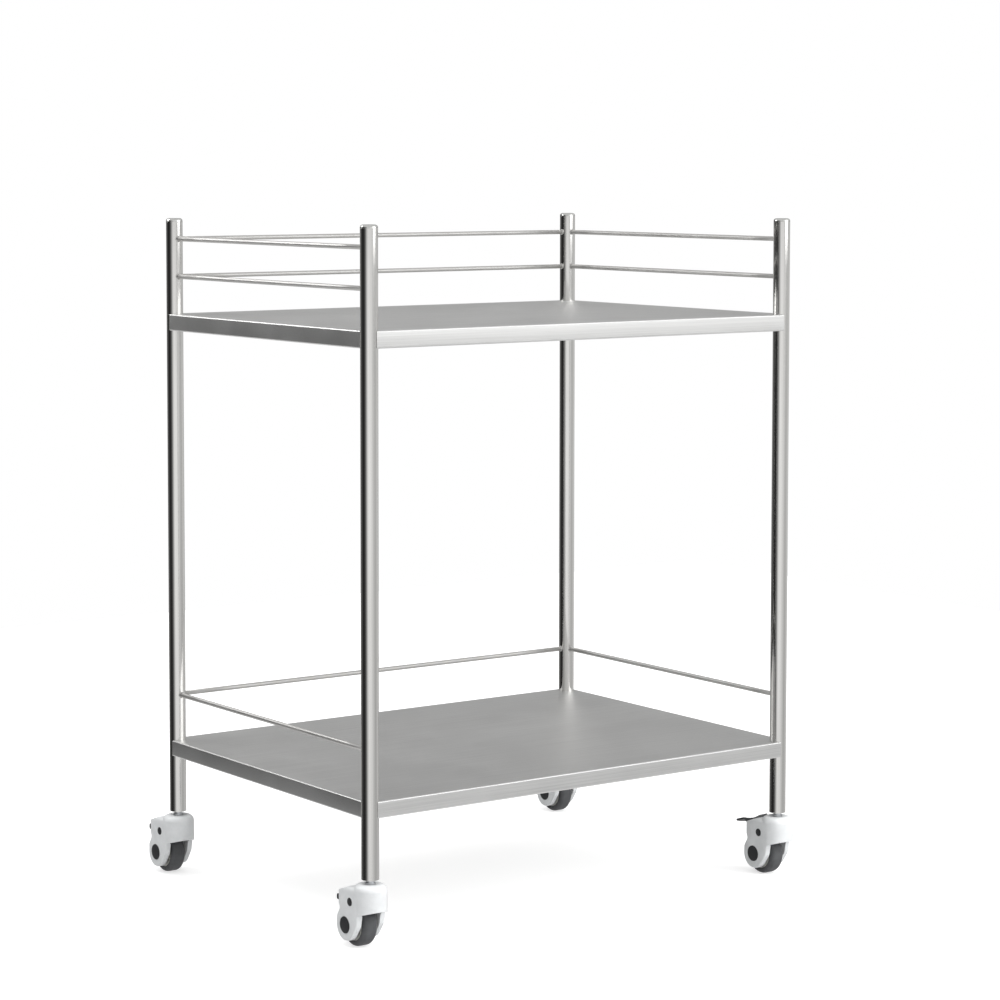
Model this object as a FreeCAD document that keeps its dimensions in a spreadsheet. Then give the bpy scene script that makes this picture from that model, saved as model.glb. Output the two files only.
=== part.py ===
"""Two-tier equipment trolley: four polished tube posts, two folded sheet shelves, guard rails
on three sides and four swivel casters, two of them with a foot brake.

Millimetres, +Z up.  X runs along the long side and the open side faces -Y.  The origin lies on
the floor under the middle of everything, so the frame stands a little towards -Y, because all
four casters trail towards +Y.
"""
import FreeCAD, Part
import math
import os
import Sketcher

Vector = FreeCAD.Vector

DIMENSIONS = {
    # frame
    "frame_width": 660, "frame_depth": 480, "frame_height": 862,
    "post_diameter": 21.3, "post_wall": 1.2, "post_foot": 84.6,
    "cap_dome": 4, "cap_spigot": 12, "cap_wall": 1.6, "fit_gap": 0.1, "weld_gap": 0.1,
    # folded shelves: the upper one under the posts' tops, the lower one over their feet
    "sheet": 1.0, "fold_radius": 2.0, "return_lip": 12, "flange_setback": 4,
    "upper_drop": 124, "upper_flange": 21.3, "lower_rise": 94.8, "lower_flange": 20.5,
    "hat_width": 70, "hat_brim": 14, "hat_depth": 13, "hat_inset": 22,
    # guard rails, over the shelf that each one guards
    "rail_diameter": 6, "top_rail": 97.3, "middle_rail": 48.7, "low_rail": 60,
    # swivel stem and its socket in the tube
    "socket_length": 30, "stem_diameter": 10, "stem_grip": 24, "collar_diameter": 13,
    "collar_height": 1.5, "stem_head_diameter": 18, "stem_head_height": 2.6,
    "running_gap": 0.05, "face_gap": 0.3,
    "bearing_diameter": 28, "bearing_height": 7, "bearing_seat": 75.5,
    # wheel
    "wheel_radius": 27.5, "tyre_width": 20, "tyre_thickness": 7, "tread_round": 5.5,
    "rim_thickness": 3, "rim_inset": 1, "web_thickness": 5, "hub_radius": 9.5, "hub_gap": 1,
    "bush_radius": 6, "axle_diameter": 8, "spoke_hole": 5, "spoke_pitch": 26,
    # moulded caster housing: reaches behind the stem's axis and heights over the floor
    "wheel_trail": 24.5, "housing_width": 41, "fork_gap": 26, "well_gap": 2.2,
    "hood_top": 79.5, "hood_shoulder": 8, "skirt_overrun": 5, "skirt_front": 50.3,
    "head_front_height": 75, "head_reach": 39, "head_height": 67.5, "head_corner": 6,
    "head_underside": 51.5, "waist_reach": 36.8, "waist_height": 46, "edge_round": 2,
    # fork legs, measured from the axle
    "leg_top": 27, "leg_top_height": 15.5, "leg_front": 24.5, "leg_front_height": 1.5,
    "leg_toe": 10.2, "leg_drop": 19.3, "leg_back": 18.8, "leg_back_height": 8,
    # axle ends under the hub caps
    "hub_cap_diameter": 20.4, "hub_cap_rise": 0.8, "hub_cap_thickness": 2, "recess_depth": 5,
    "axle_head_diameter": 14, "axle_head_height": 2.8, "nut_width": 13, "nut_height": 2.8,
    # foot brake, in its place with the pedal up
    "pivot_reach": 14, "pivot_height": 57.3, "pivot_diameter": 3.5, "pin_head_diameter": 10,
    "pin_head_height": 1.5, "pin_head_rise": 0.3, "boss_radius": 3.4, "slot_gap": 0.6,
    "nose_reach": 5.2, "nose_angle": -13.2, "neck_width": 17, "neck_height": 63.7,
    "neck_underside": 60.5, "neck_front": 24, "riser_front": 41.5, "riser_rear": 50,
    "pedal_width": 42, "pedal_front": 43.5, "pedal_reach": 58, "pedal_top": 69.6,
    "pedal_thickness": 3, "pedal_tilt": 18, "pedal_dish": 75, "pedal_flare": 14,
    "keel_thickness": 3.6, "keel_inset": 2,
    # plug in the place of a brake
    "plug_reach": 47.5, "plug_width": 34, "plug_low": 53.8, "plug_high": 61, "plug_tongue": 5,
}

FRONT, REAR, LEFT, RIGHT = -1, 1, -1, 1
CORNERS = {
    "front_left": (LEFT, FRONT),
    "front_right": (RIGHT, FRONT),
    "rear_left": (LEFT, REAR),
    "rear_right": (RIGHT, REAR),
}
BRAKED = ("front_right", "rear_right")

# Places worked out from the dimensions
POST_X = "(dims.frame_width - dims.post_diameter) / 2"
POST_Y = "(dims.frame_depth - dims.post_diameter) / 2"
FRAME_Y = "(dims.housing_width / 2 - dims.pedal_reach) / 2"
UPPER = "(dims.frame_height - dims.upper_drop)"
LOWER = "(dims.post_foot + dims.lower_rise)"
AXLE_Z = "dims.wheel_radius"
TUBE_TOP = "dims.frame_height - dims.cap_dome"
TUBE_BORE = "(dims.post_diameter / 2 - dims.post_wall)"
HALF_HOUSING = "dims.housing_width / 2"
LEG_FRONT = "(dims.wheel_trail - dims.leg_top)"
SKIRT = f"({AXLE_Z} + dims.leg_top_height)"

doc = FreeCAD.newDocument("trolley")
sheet = doc.addObject("Spreadsheet::Sheet", "dims")
nodes = []


def fill_sheet():
    """One row per dimension: its name beside its value."""
    for row, (name, size) in enumerate(DIMENSIONS.items(), start=1):
        sheet.set(f"A{row}", name)
        sheet.set(f"B{row}", str(size))
        sheet.setAlias(f"B{row}", name)
    doc.recompute()


def size_of(expression):
    """The value of an expression in the sheet's dimensions."""
    return float(sheet.evalExpression(str(expression)))


def new_body(name, x="0", y="0", z="0"):
    """A body of its own, placed by three expressions."""
    body = doc.addObject("PartDesign::Body", name)
    body.Label = name
    for axis, place in zip("xyz", (x, y, z)):
        body.setExpression(f"Placement.Base.{axis}", place)
    return body


def plane_of(body, role):
    """The body's own origin plane or axis of that role."""
    return next(item for item in body.Origin.OriginFeatures if item.Role == role)


def new_sketch(body, role, lift="0"):
    """A sketch on an origin plane, lifted along that plane's normal."""
    sketch = body.newObject("Sketcher::SketchObject", "sketch")
    sketch.AttachmentSupport = [(plane_of(body, role), "")]
    sketch.MapMode = "FlatFace"
    sketch.setExpression("AttachmentOffset.Base.z", lift)
    return sketch


def bind(sketch, kind, item, point, expression):
    """Hold one coordinate of a sketch point at an expression's value."""
    size = size_of(expression)
    if abs(size) < 1e-9:
        axis = -2 if kind == "DistanceX" else -1
        sketch.addConstraint(Sketcher.Constraint("PointOnObject", item, point, axis))
    elif size > 0:
        index = sketch.addConstraint(Sketcher.Constraint(kind, -1, 1, item, point, size))
        sketch.setExpression(f"Constraints[{index}]", expression)
    else:
        index = sketch.addConstraint(Sketcher.Constraint(kind, item, point, -1, 1, -size))
        sketch.setExpression(f"Constraints[{index}]", f"-({expression})")


def add_circle(sketch, x, y, radius):
    """A circle with its centre and radius held by expressions."""
    circle = Part.Circle(Vector(size_of(x), size_of(y)), Vector(0, 0, 1), size_of(radius))
    item = sketch.addGeometry(circle, False)
    bind(sketch, "DistanceX", item, 3, x)
    bind(sketch, "DistanceY", item, 3, y)
    index = sketch.addConstraint(Sketcher.Constraint("Radius", item, size_of(radius)))
    sketch.setExpression(f"Constraints[{index}]", radius)


def add_outline(sketch, corners):
    """A closed outline of straight sides through corners (x, y) or (x, y, radius).

    A corner with a radius is a fixed point on both of its sides, with an arc tangent to them.
    """
    places = [Vector(size_of(corner[0]), size_of(corner[1])) for corner in corners]
    radii = [corner[2] if len(corner) > 2 else None for corner in corners]
    count = len(corners)
    arrive, leave, turns = [], [], []
    for index, place in enumerate(places):
        before = (places[index - 1] - place).normalize()
        after = (places[(index + 1) % count] - place).normalize()
        half = before.getAngle(after) / 2
        turns.append(after.cross(before).z)
        trim = size_of(radii[index]) / math.tan(half) if radii[index] else 0.0
        arrive.append(place + before * trim)
        leave.append(place + after * trim)
    sides = [
        sketch.addGeometry(Part.LineSegment(leave[index], arrive[(index + 1) % count]), False)
        for index in range(count)
    ]
    for index, corner in enumerate(corners):
        side_in, side_out = sides[index - 1], sides[index]
        if radii[index] is None:
            sketch.addConstraint(Sketcher.Constraint("Coincident", side_in, 2, side_out, 1))
            bind(sketch, "DistanceX", side_out, 1, corner[0])
            bind(sketch, "DistanceY", side_out, 1, corner[1])
            continue
        spot = sketch.addGeometry(Part.Point(places[index]), True)
        bind(sketch, "DistanceX", spot, 1, corner[0])
        bind(sketch, "DistanceY", spot, 1, corner[1])
        radius = size_of(radii[index])
        middle = (arrive[index] + leave[index]) / 2 - places[index]
        reach = math.hypot(radius, (arrive[index] - places[index]).Length)
        centre = places[index] + middle.normalize() * reach
        ends = [arrive[index] - centre, leave[index] - centre]
        first, last = (1, 2) if turns[index] > 0 else (2, 1)
        if first == 2:
            ends.reverse()
        angles = [math.atan2(end.y, end.x) for end in ends]
        circle = Part.Circle(centre, Vector(0, 0, 1), radius)
        arc = sketch.addGeometry(Part.ArcOfCircle(circle, *angles), False)
        sketch.addConstraint([
            Sketcher.Constraint("PointOnObject", spot, 1, side_in),
            Sketcher.Constraint("PointOnObject", spot, 1, side_out),
            Sketcher.Constraint("Tangent", side_in, 2, arc, first),
            Sketcher.Constraint("Tangent", arc, last, side_out, 1),
        ])
        held = sketch.addConstraint(Sketcher.Constraint("Radius", arc, radius))
        sketch.setExpression(f"Constraints[{held}]", radii[index])


def outline_sketch(body, role, corners, lift="0"):
    """A new sketch that holds one outline."""
    sketch = new_sketch(body, role, lift)
    add_outline(sketch, corners)
    return sketch


def circle_sketch(body, role, circles, lift="0"):
    """A new sketch that holds circles, each (x, y, radius)."""
    sketch = new_sketch(body, role, lift)
    for circle in circles:
        add_circle(sketch, *circle)
    return sketch


def extrude(body, kind, sketch, length, both_ways=False, backwards=False):
    """A Pad or Pocket of a sketch over a length."""
    feature = body.newObject(f"PartDesign::{kind}", kind.lower())
    feature.Profile = sketch
    feature.SideType = "Symmetric" if both_ways else "One side"
    feature.Reversed = backwards
    feature.setExpression("Length", length)
    return feature


def cut(body, sketch, length, both_ways=False, backwards=False):
    """A Pocket that is sure to remove material."""
    doc.recompute()
    before = body.Shape.Volume
    feature = extrude(body, "Pocket", sketch, length, both_ways, backwards)
    doc.recompute()
    if body.Shape.Volume > before - 1e-6:
        raise RuntimeError(f"a pocket in {body.Label} removed nothing")
    return feature


def revolve(body, sketch, axis):
    """A full turn of a sketch about one of the body's origin axes."""
    feature = body.newObject("PartDesign::Revolution", "revolution")
    feature.Profile = sketch
    feature.ReferenceAxis = (plane_of(body, axis), [""])
    feature.Angle = 360
    return feature


def round_edges(body, radius, wanted):
    """Fillet the edges of the body whose boxes wanted(box) picks."""
    doc.recompute()
    base = body.Tip
    names = [
        f"Edge{index}" for index, edge in enumerate(base.Shape.Edges, start=1)
        if wanted(edge.BoundBox)
    ]
    feature = body.newObject("PartDesign::Fillet", "fillet")
    feature.Base = (base, names)
    feature.setExpression("Radius", radius)
    doc.recompute()
    return feature


def group(name, members):
    """Separate like pieces that share one node."""
    compound = doc.addObject("Part::Compound", name)
    compound.Label = name
    compound.Links = members
    nodes.append(compound)


def corner_place(corner):
    """Expressions for a post's axis."""
    side, end = CORNERS[corner]
    return f"{side} * {POST_X}", f"{FRAME_Y} + {end} * {POST_Y}"


def make_post(corner):
    """A polished tube."""
    body = new_body(f"post_{corner}", *corner_place(corner), "dims.post_foot")
    rings = [("0", "0", "dims.post_diameter / 2"), ("0", "0", TUBE_BORE)]
    extrude(body, "Pad", circle_sketch(body, "XY_Plane", rings), f"{TUBE_TOP} - dims.post_foot")
    nodes.append(body)


def make_post_cap(corner):
    """A domed plug in the tube's upper end, with a hollow spigot."""
    body = new_body(f"cap_{corner}", *corner_place(corner), TUBE_TOP)
    spigot = f"{TUBE_BORE} - dims.fit_gap"
    profile = outline_sketch(body, "XZ_Plane", [
        ("0", "0 - dims.cap_wall"),
        (f"{spigot} - dims.cap_wall", "0 - dims.cap_wall"),
        (f"{spigot} - dims.cap_wall", "-dims.cap_spigot"),
        (spigot, "-dims.cap_spigot"),
        (spigot, "0"),
        ("dims.post_diameter / 2", "0"),
        ("dims.post_diameter / 2", "dims.cap_dome", "dims.cap_dome * 0.9"),
        ("0", "dims.cap_dome"),
    ])
    revolve(body, profile, "Z_Axis")
    return body


def make_socket(corner):
    """The plug in the tube's lower end that grips the caster's stem."""
    body = new_body(f"socket_{corner}", *corner_place(corner), "dims.post_foot")
    rings = [("0", "0", f"{TUBE_BORE} - dims.fit_gap"), ("0", "0", "dims.stem_diameter / 2")]
    extrude(body, "Pad", circle_sketch(body, "XY_Plane", rings), "dims.socket_length")
    return body


def make_stem(corner):
    """The swivel stem: a head under the bearing, the shaft, and a collar over the housing."""
    body = new_body(f"stem_{corner}", *corner_place(corner), "0")
    head_top = "dims.bearing_seat - dims.bearing_height - dims.face_gap"
    collar = "dims.hood_top + dims.face_gap"
    profile = outline_sketch(body, "XZ_Plane", [
        ("0", f"{head_top} - dims.stem_head_height"),
        ("dims.stem_head_diameter / 2", f"{head_top} - dims.stem_head_height"),
        ("dims.stem_head_diameter / 2", head_top),
        ("dims.stem_diameter / 2", head_top),
        ("dims.stem_diameter / 2", collar),
        ("dims.collar_diameter / 2", collar),
        ("dims.collar_diameter / 2", f"{collar} + dims.collar_height"),
        ("dims.stem_diameter / 2", f"{collar} + dims.collar_height"),
        ("dims.stem_diameter / 2", "dims.post_foot + dims.stem_grip"),
        ("0", "dims.post_foot + dims.stem_grip"),
    ])
    revolve(body, profile, "Z_Axis")
    return body


def folded_edge(body, role, edge, flange, length, across):
    """A flange folded down along one edge, with a return lip folded in under it."""
    def out(inward):
        return f"{across} * ({edge} - {inward})"
    sketch = outline_sketch(body, role, [
        (out("2 * dims.fold_radius"), "0"),
        (out("0"), "0", "dims.fold_radius"),
        (out("0"), f"-{flange}", "dims.fold_radius"),
        (out("dims.return_lip"), f"-{flange}"),
        (out("dims.return_lip"), f"dims.sheet - {flange}"),
        (out("dims.sheet"), f"dims.sheet - {flange}", "dims.fold_radius - dims.sheet"),
        (out("dims.sheet"), "-dims.sheet", "dims.fold_radius - dims.sheet"),
        (out("2 * dims.fold_radius"), "-dims.sheet"),
    ])
    return extrude(body, "Pad", sketch, length, both_ways=True)


def make_shelf(name, level, flange):
    """A sheet pan notched round the four posts, its four flanges folded down."""
    body = new_body(name, "0", FRAME_Y, level)
    half_x, half_y = "dims.frame_width / 2", "dims.frame_depth / 2"
    edge_x, edge_y = f"({half_x} - dims.fold_radius)", f"({half_y} - dims.fold_radius)"
    panel = outline_sketch(body, "XY_Plane", [
        (f"-{edge_x}", f"-{edge_y}"), (edge_x, f"-{edge_y}"),
        (edge_x, edge_y), (f"-{edge_x}", edge_y),
    ])
    extrude(body, "Pad", panel, "dims.sheet", backwards=True)
    end_x, end_y = f"({POST_X} - dims.flange_setback)", f"({POST_Y} - dims.flange_setback)"
    for across in (-1, 1):
        folded_edge(body, "YZ_Plane", half_y, flange, f"2 * {end_x}", across)
        folded_edge(body, "XZ_Plane", half_x, flange, f"2 * {end_y}", across)
    notches = new_sketch(body, "XY_Plane", "dims.sheet")
    corners = new_sketch(body, "XY_Plane", "dims.sheet")
    notch = "dims.post_diameter / 2 + dims.weld_gap"
    for side_x, side_y in CORNERS.values():
        add_circle(notches, f"{side_x} * {POST_X}", f"{side_y} * {POST_Y}", notch)
        inner_x, outer_x = f"{side_x} * {end_x}", f"{side_x} * ({half_x} + 1)"
        inner_y, outer_y = f"{side_y} * {end_y}", f"{side_y} * ({half_y} + 1)"
        add_outline(corners, [
            (inner_x, inner_y), (outer_x, inner_y), (outer_x, outer_y), (inner_x, outer_y),
        ])
    cut(body, notches, f"{flange} + 2 * dims.sheet")
    cut(body, corners, f"{flange} + 2 * dims.sheet")
    nodes.append(body)


def make_stiffener(name, level):
    """A hat section spot-welded along the underside of a shelf."""
    body = new_body(name, "0", FRAME_Y, f"{level} - dims.sheet")
    half, inner = "dims.hat_width / 2", "(dims.hat_width / 2 - dims.hat_brim)"
    profile = outline_sketch(body, "YZ_Plane", [
        (f"-{half}", "0"), (f"-{inner}", "0"),
        (f"-{inner}", "dims.sheet - dims.hat_depth"), (inner, "dims.sheet - dims.hat_depth"),
        (inner, "0"), (half, "0"), (half, "-dims.sheet"),
        (f"{inner} + dims.sheet", "-dims.sheet"), (f"{inner} + dims.sheet", "-dims.hat_depth"),
        (f"-({inner} + dims.sheet)", "-dims.hat_depth"), (f"-({inner} + dims.sheet)", "-dims.sheet"),
        (f"-{half}", "-dims.sheet"),
    ])
    extrude(body, "Pad", profile, "dims.frame_width - 2 * dims.hat_inset", both_ways=True)
    nodes.append(body)


def make_rail(name, level, side):
    """A guard rod between two posts, each end coped to the tube."""
    along_x = side == "rear"
    x = "0" if along_x else f"{RIGHT if side == 'right' else LEFT} * {POST_X}"
    y = f"{FRAME_Y} + {POST_Y}" if along_x else FRAME_Y
    body = new_body(name, x, y, level)
    span = POST_X if along_x else POST_Y
    role = "YZ_Plane" if along_x else "XZ_Plane"
    rod = circle_sketch(body, role, [("0", "0", "dims.rail_diameter / 2")])
    extrude(body, "Pad", rod, f"2 * {span}", both_ways=True)
    reach = "dims.post_diameter / 2 + dims.weld_gap"
    centres = [(f"{end} * {span}", "0") for end in (-1, 1)]
    ends = [(*(centre if along_x else centre[::-1]), reach) for centre in centres]
    cut(body, circle_sketch(body, "XY_Plane", ends), "2 * dims.rail_diameter", both_ways=True)
    nodes.append(body)


def behind(reach, height):
    """A place in the side view, given from the wheel's axle."""
    return f"dims.wheel_trail + {reach}", f"{AXLE_Z} + {height}"


def leg_outline():
    """Side view of the fork legs and the lower part of the head, rear towards +Y."""
    return [
        ("0", "dims.head_height - dims.head_corner"),
        ("0", SKIRT),
        (LEG_FRONT, SKIRT),
        (*behind("(-dims.leg_front)", "dims.leg_front_height"), "12"),
        (*behind("(-dims.leg_toe)", "(-dims.leg_drop)"), "dims.leg_drop"),
        (*behind("dims.leg_back", "(-dims.leg_drop)"), "dims.leg_back - 1"),
        (*behind("dims.leg_back", "dims.leg_back_height"), "7"),
        ("dims.waist_reach", "dims.waist_height", "4"),
        ("dims.head_reach", "dims.head_underside", "2"),
        ("dims.head_reach", "dims.head_height - dims.head_corner"),
    ]


def shell_of_housing(body):
    """Fork legs, head and hood in one outer shape with softened edges."""
    legs = outline_sketch(body, "YZ_Plane", leg_outline())
    extrude(body, "Pad", legs, "dims.housing_width", both_ways=True)
    head = outline_sketch(body, "XZ_Plane", [
        (f"-{HALF_HOUSING}", "dims.head_underside + 4"), (HALF_HOUSING, "dims.head_underside + 4"),
        (HALF_HOUSING, "dims.head_front_height", "dims.head_corner"),
        (f"-{HALF_HOUSING}", "dims.head_front_height", "dims.head_corner"),
    ])
    extrude(body, "Pad", head, "dims.head_reach", backwards=True)
    roof = outline_sketch(body, "YZ_Plane", [
        (HALF_HOUSING, "dims.head_front_height"), ("dims.head_reach", "dims.head_height"),
        ("dims.head_reach", "dims.hood_top"), (HALF_HOUSING, "dims.hood_top"),
    ])
    cut(body, roof, "2 * dims.housing_width", both_ways=True)
    side, skirt = size_of(HALF_HOUSING), size_of(SKIRT)
    rear, roof_rear = size_of("dims.head_reach"), size_of("dims.head_height - dims.head_corner")

    def outer_edge(box):
        on_side = abs(abs(box.XMin) - side) < 1e-4 and abs(box.XMax - box.XMin) < 1e-4
        low = box.ZMax < roof_rear + 1e-4 and (box.ZMin < skirt - 1e-4 or box.YMin > 1)
        return on_side and low and box.ZMax < roof_rear + 1e-4 and box.YMax - box.YMin < rear
    round_edges(body, "dims.edge_round", outer_edge)
    hood = outline_sketch(body, "XZ_Plane", [
        ("0", SKIRT), (HALF_HOUSING, SKIRT),
        (HALF_HOUSING, "dims.hood_top", "dims.hood_shoulder"), ("0", "dims.hood_top"),
    ])
    revolve(body, hood, "Z_Axis")
    overrun = f"-({HALF_HOUSING} + dims.skirt_overrun)"
    rising_skirt = outline_sketch(body, "YZ_Plane", [
        (overrun, "dims.skirt_front"), (LEG_FRONT, SKIRT),
        (LEG_FRONT, f"{SKIRT} - 5"), (overrun, f"{SKIRT} - 5"),
    ])
    cut(body, rising_skirt, "2 * dims.housing_width", both_ways=True)


def hollow_of_housing(body):
    """The wheel well, the bearing's pocket, the brake's slot and the seats of pin and axle."""
    well = circle_sketch(body, "YZ_Plane", [
        ("dims.wheel_trail", AXLE_Z, "dims.wheel_radius + dims.well_gap"),
    ])
    cut(body, well, "dims.fork_gap", both_ways=True)
    below = outline_sketch(body, "YZ_Plane", [
        ("-dims.housing_width", "0"), ("2 * dims.housing_width", "0"),
        ("2 * dims.housing_width", SKIRT), ("-dims.housing_width", SKIRT),
    ])
    cut(body, below, "dims.fork_gap", both_ways=True)
    pocket = circle_sketch(body, "XY_Plane", [
        ("0", "0", "dims.bearing_diameter / 2 + dims.fit_gap"),
    ], "dims.bearing_seat")
    cut(body, pocket, f"dims.bearing_seat - {SKIRT} + 1")
    stem_hole = circle_sketch(body, "XY_Plane", [
        ("0", "0", "dims.stem_diameter / 2 + dims.face_gap"),
    ], "dims.hood_top")
    cut(body, stem_hole, "dims.hood_top - dims.bearing_seat + 1")
    front = "dims.pivot_reach - dims.boss_radius - dims.slot_gap"
    ceiling = "dims.neck_height + dims.slot_gap"
    slot = outline_sketch(body, "YZ_Plane", [
        (front, SKIRT), ("dims.head_reach + 5", SKIRT),
        ("dims.head_reach + 5", ceiling), (front, ceiling),
    ])
    cut(body, slot, "dims.neck_width + 2 * dims.slot_gap", both_ways=True)
    bores = circle_sketch(body, "YZ_Plane", [
        ("dims.pivot_reach", "dims.pivot_height", "dims.pivot_diameter / 2"),
        ("dims.wheel_trail", AXLE_Z, "dims.axle_diameter / 2"),
    ])
    cut(body, bores, "2 * dims.housing_width", both_ways=True)
    cap_seat = ("dims.wheel_trail", AXLE_Z, "dims.hub_cap_diameter / 2 + dims.fit_gap")
    pin_seat = ("dims.pivot_reach", "dims.pivot_height", "dims.pin_head_diameter / 2 + dims.fit_gap")
    pin_depth = "dims.pin_head_height - dims.pin_head_rise"
    for lift, backwards in ((HALF_HOUSING, False), (f"-{HALF_HOUSING}", True)):
        for seat, depth in ((cap_seat, "dims.recess_depth"), (pin_seat, pin_depth)):
            cut(body, circle_sketch(body, "YZ_Plane", [seat], lift), depth, backwards=backwards)


def make_housing(corner):
    """The moulded caster housing: a round hood over the stem, a head behind it, two fork legs."""
    body = new_body(f"housing_{corner}", *corner_place(corner), "0")
    shell_of_housing(body)
    hollow_of_housing(body)
    nodes.append(body)


def make_bearing(corner):
    """The swivel bearing in the hood, turning on the stem."""
    bottom = "dims.bearing_seat - dims.bearing_height"
    body = new_body(f"swivel_bearing_{corner}", *corner_place(corner), bottom)
    rings = [("0", "0", "dims.bearing_diameter / 2"), ("0", "0", "dims.stem_diameter / 2 + dims.running_gap")]
    extrude(body, "Pad", circle_sketch(body, "XY_Plane", rings), "dims.bearing_height")
    nodes.append(body)


def wheel_body(name, corner):
    """A body at the middle of a wheel, its X axis along the axle."""
    x, y = corner_place(corner)
    return new_body(f"{name}_{corner}", x, f"{y} + dims.wheel_trail", AXLE_Z)


def ring(name, corner, profile):
    """A turned wheel part from its section (along the axle, radius)."""
    body = wheel_body(name, corner)
    revolve(body, outline_sketch(body, "XZ_Plane", profile), "X_Axis")
    nodes.append(body)
    return body


def make_tyre(corner):
    """A rubber tyre with round shoulders."""
    half, outer = "dims.tyre_width / 2", "dims.wheel_radius"
    inner = "dims.wheel_radius - dims.tyre_thickness"
    ring("tyre", corner, [
        (f"-{half}", inner), (f"-{half}", outer, "dims.tread_round"),
        (half, outer, "dims.tread_round"), (half, inner),
    ])


def make_core(corner):
    """A moulded wheel core: rim, web and hub in one, with holes in the web."""
    rim_out = "dims.wheel_radius - dims.tyre_thickness"
    rim_in = f"{rim_out} - dims.rim_thickness"
    rim, web = "(dims.tyre_width / 2 - dims.rim_inset)", "dims.web_thickness / 2"
    hub, bore, root = "(dims.fork_gap / 2 - dims.hub_gap)", "dims.bush_radius", f"{rim_in} - 0.6"
    body = ring("wheel_core", corner, [
        (f"-{rim}", rim_out), (f"-{rim}", rim_in), (f"-{web}", root), (f"-{web}", "dims.hub_radius"),
        (f"-{hub}", "dims.hub_radius"), (f"-{hub}", bore), (hub, bore), (hub, "dims.hub_radius"),
        (web, "dims.hub_radius"), (web, root), (rim, rim_in), (rim, rim_out),
    ])
    pitch = "dims.spoke_pitch / 2"
    holes = circle_sketch(body, "YZ_Plane", [
        (f"{pitch} * cos({angle} deg)", f"{pitch} * sin({angle} deg)", "dims.spoke_hole / 2")
        for angle in range(30, 390, 60)
    ])
    cut(body, holes, "dims.web_thickness + 1", both_ways=True)


def make_bush(corner):
    """The plain bush pressed in the hub, turning on the axle between the legs."""
    half, bore = "(dims.fork_gap / 2 - dims.face_gap)", "dims.axle_diameter / 2 + dims.running_gap"
    ring("wheel_bush", corner, [
        (f"-{half}", bore), (half, bore), (half, "dims.bush_radius"), (f"-{half}", "dims.bush_radius"),
    ])


def make_axle(corner):
    """The axle bolt: shank, round head on one side, hexagon nut on the other."""
    body = wheel_body("axle", corner)
    seat = f"({HALF_HOUSING} - dims.recess_depth)"
    extrude(body, "Pad", circle_sketch(body, "YZ_Plane", [("0", "0", "dims.axle_diameter / 2")]),
            f"2 * {seat}", both_ways=True)
    head = circle_sketch(body, "YZ_Plane", [("0", "0", "dims.axle_head_diameter / 2")], seat)
    extrude(body, "Pad", head, "dims.axle_head_height")
    nut = new_sketch(body, "YZ_Plane", f"-{seat}")
    across = "dims.nut_width / sqrt(3)"
    add_outline(nut, [
        (f"{across} * cos({angle} deg)", f"{across} * sin({angle} deg)") for angle in range(0, 360, 60)
    ])
    extrude(body, "Pad", nut, "dims.nut_height", backwards=True)
    nodes.append(body)


def make_hub_cap(corner, side):
    """A shallow round cap over one end of the axle."""
    body = wheel_body(f"hub_cap_{'left' if side == LEFT else 'right'}", corner)
    face = f"({HALF_HOUSING} + dims.hub_cap_rise)"
    radius = "dims.hub_cap_diameter / 2"
    profile = outline_sketch(body, "XZ_Plane", [
        (f"{side} * ({face} - dims.hub_cap_thickness)", "0"),
        (f"{side} * ({face} - dims.hub_cap_thickness)", radius),
        (f"{side} * {face}", radius, "0.7"),
        (f"{side} * {face}", "0"),
    ])
    revolve(body, profile, "X_Axis")
    return body


def make_pin(corner):
    """The brake's pivot pin through both cheeks, with a flat round head at each end."""
    x, y = corner_place(corner)
    body = new_body(f"pivot_pin_{corner}", x, f"{y} + dims.pivot_reach", "dims.pivot_height")
    end = f"({HALF_HOUSING} + dims.pin_head_rise)"
    under = f"({end} - dims.pin_head_height)"
    shank, head = "dims.pivot_diameter / 2", "dims.pin_head_diameter / 2"
    profile = outline_sketch(body, "XZ_Plane", [
        (f"-{end}", "0"), (f"-{end}", head), (f"-{under}", head), (f"-{under}", shank),
        (under, shank), (under, head), (end, head), (end, "0"),
    ])
    revolve(body, profile, "X_Axis")
    nodes.append(body)


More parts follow.
